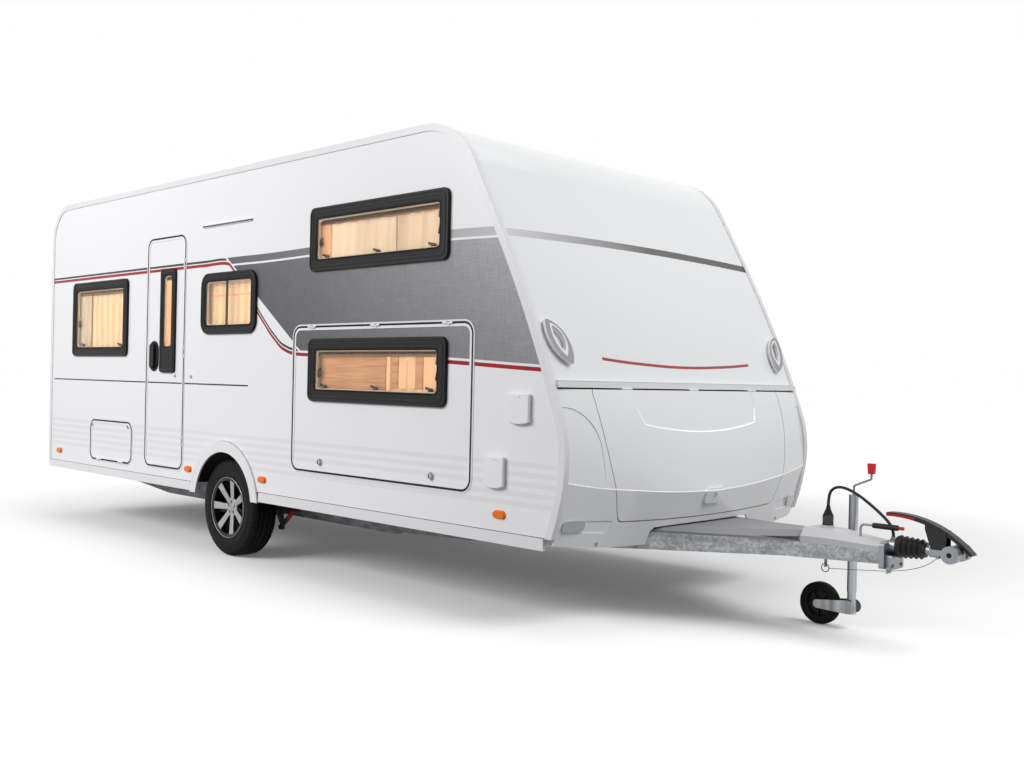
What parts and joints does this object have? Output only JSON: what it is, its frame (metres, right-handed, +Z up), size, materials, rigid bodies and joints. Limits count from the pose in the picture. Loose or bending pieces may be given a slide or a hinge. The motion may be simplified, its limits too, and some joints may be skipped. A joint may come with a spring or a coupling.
{
  "type": "single-axle travel caravan",
  "caption": "Touring caravan on a braked single axle with an A-frame drawbar, overrun ball coupling and jockey wheel; door, hatches, locker lid and steadies open.",
  "frame": {"origin": "on the ground under the middle of the whole length", "axes": "+X forward towards the coupling, +Y left, +Z up"},
  "size_m": [7.518, 2.345, 2.707],
  "materials": {
    "white_skin": "white gel-coated sandwich skin",
    "front_gloss": "gloss white moulding",
    "timber_floor": "coated plywood sandwich",
    "aluminium_trim": "white powder coat",
    "white_plastic": "fine moulded",
    "black_plastic": "fine moulded",
    "tinted_acrylic": "tinted double acrylic",
    "galvanised_steel": "hot-dip galvanised",
    "tyre_rubber": "moulded rubber",
    "alloy": "machined face, black pockets",
    "bellows_rubber": "moulded",
    "cast_steel": "zinc plated",
    "steel_wire": "coated wire rope",
    "grey_plastic": "moulded",
    "amber_lens": "moulded lens",
    "red_lens": "moulded lens",
    "blind_cloth": "woven",
    "shock_black": "black paint"
  },
  "bodies": {
    "caravan": {"axle": "galvanised_steel", "blinds": "blind_cloth", "breakaway_cable": "steel_wire", "chassis_brackets": "galvanised_steel", "coupling_bellows": "bellows_rubber", "coupling_head": "cast_steel", "coupling_levers": "black_plastic", "cross_members": "galvanised_steel", "door_and_hatch_frames": "aluminium_trim", "drawbar_covers": "grey_plastic", "drawbar_rail_left": "galvanised_steel", "drawbar_rail_right": "galvanised_steel", "edge_rails_and_skirts": "aluminium_trim", "end_lamps": "red_lens", "floor_panel": "timber_floor", "front_bumper": "front_gloss", "front_panel": "front_gloss", "locker_bulkhead": "timber_floor", "overrun_housing": "cast_steel", "rear_bumper": "front_gloss", "rear_panel": "white_skin", "roof_lights": "white_plastic", "roof_panel": "white_skin", "shock_absorbers": "shock_black", "side_markers": "amber_lens", "side_member_left": "galvanised_steel", "side_member_right": "galvanised_steel", "side_wall_left": "white_skin", "side_wall_right": "white_skin", "trailer_lead": "bellows_rubber", "trailer_plug": "black_plastic", "wall_fittings": "white_plastic", "wheel_arch_trims": "white_plastic", "wheel_boxes": "black_plastic", "window_frames": "black_plastic", "window_panes": "tinted_acrylic"},
    "road_wheel_right": {"tyre_right": "tyre_rubber", "wheel_right": "alloy"},
    "road_wheel_left": {"tyre_left": "tyre_rubber", "wheel_left": "alloy"},
    "door": {"entrance_door": "white_skin", "door_window_frame": "black_plastic", "door_window_pane": "tinted_acrylic", "door_handle": "black_plastic"},
    "hatch": {"side_hatch": "white_skin", "hatch_window_frame": "black_plastic", "hatch_window_pane": "tinted_acrylic", "hatch_blind": "blind_cloth"},
    "lid": {"locker_lid": "front_gloss"},
    "service_door": {"service_flap": "white_skin"},
    "cassette_door": {"cassette_flap": "white_skin"},
    "jockey_tube": {"jockey_outer_tube": "galvanised_steel", "jockey_crank": "galvanised_steel"},
    "jockey_slider": {"jockey_leg": "galvanised_steel"},
    "jockey_swivel": {"jockey_fork": "galvanised_steel"},
    "jockey_roller": {"jockey_wheel": "tyre_rubber"},
    "leg_front_right": {"steady_front_right": "galvanised_steel"},
    "leg_front_left": {"steady_front_left": "galvanised_steel"},
    "leg_rear_right": {"steady_rear_right": "galvanised_steel"},
    "leg_rear_left": {"steady_rear_left": "galvanised_steel"}
  },
  "joints": [
    {"name": "road_wheel_right_spin", "type": "hinge", "parent": "caravan", "child": "road_wheel_right", "pos_m": [-0.87, -1.0175, 0.334], "axis": [0, 1, 0], "continuous": true},
    {"name": "road_wheel_left_spin", "type": "hinge", "parent": "caravan", "child": "road_wheel_left", "pos_m": [-0.87, 1.0175, 0.334], "axis": [0, 1, 0], "continuous": true},
    {"name": "door_hinge", "type": "hinge", "parent": "caravan", "child": "door", "pos_m": [-1.447, -1.158, 1.4], "axis": [0, 0, 1], "range_deg": [0, 170]},
    {"name": "hatch_hinge", "type": "hinge", "parent": "caravan", "child": "hatch", "pos_m": [0.764, -1.158, 1.55], "axis": [-1, 0, 0], "range_deg": [0, 80]},
    {"name": "lid_hinge", "type": "hinge", "parent": "caravan", "child": "lid", "pos_m": [2.18, 0, 1.218], "axis": [0, -1, 0], "range_deg": [0, 65]},
    {"name": "service_door_hinge", "type": "hinge", "parent": "caravan", "child": "service_door", "pos_m": [-2.582, -1.158, 0.542], "axis": [1, 0, 0], "range_deg": [0, 120]},
    {"name": "cassette_door_hinge", "type": "hinge", "parent": "caravan", "child": "cassette_door", "pos_m": [0.393, 1.158, 0.8], "axis": [0, 0, -1], "range_deg": [0, 120]},
    {"name": "jockey_clamp_slide", "type": "slide", "parent": "caravan", "child": "jockey_tube", "axis": [0, 0, 1], "range_m": [0, 0.11]},
    {"name": "jockey_crank_slide", "type": "slide", "parent": "jockey_tube", "child": "jockey_slider", "axis": [0, 0, 1], "range_m": [0, 0.038]},
    {"name": "jockey_caster", "type": "hinge", "parent": "jockey_slider", "child": "jockey_swivel", "pos_m": [3.057, 0.19, 0.12], "axis": [0, 0, 1], "continuous": true},
    {"name": "jockey_wheel_spin", "type": "hinge", "parent": "jockey_swivel", "child": "jockey_roller", "pos_m": [2.882, 0.19, 0.111], "axis": [0, 1, 0], "continuous": true},
    {"name": "steady_front_right_fold", "type": "hinge", "parent": "caravan", "child": "leg_front_right", "pos_m": [1.19, -0.9, 0.44], "axis": [0, 1, 0], "range_deg": [0, 56]},
    {"name": "steady_front_left_fold", "type": "hinge", "parent": "caravan", "child": "leg_front_left", "pos_m": [1.19, 0.9, 0.44], "axis": [0, 1, 0], "range_deg": [0, 56]},
    {"name": "steady_rear_right_fold", "type": "hinge", "parent": "caravan", "child": "leg_rear_right", "pos_m": [-2.93, -0.9, 0.44], "axis": [0, -1, 0], "range_deg": [0, 56]},
    {"name": "steady_rear_left_fold", "type": "hinge", "parent": "caravan", "child": "leg_rear_left", "pos_m": [-2.93, 0.9, 0.44], "axis": [0, -1, 0], "range_deg": [0, 56]}
  ]
}
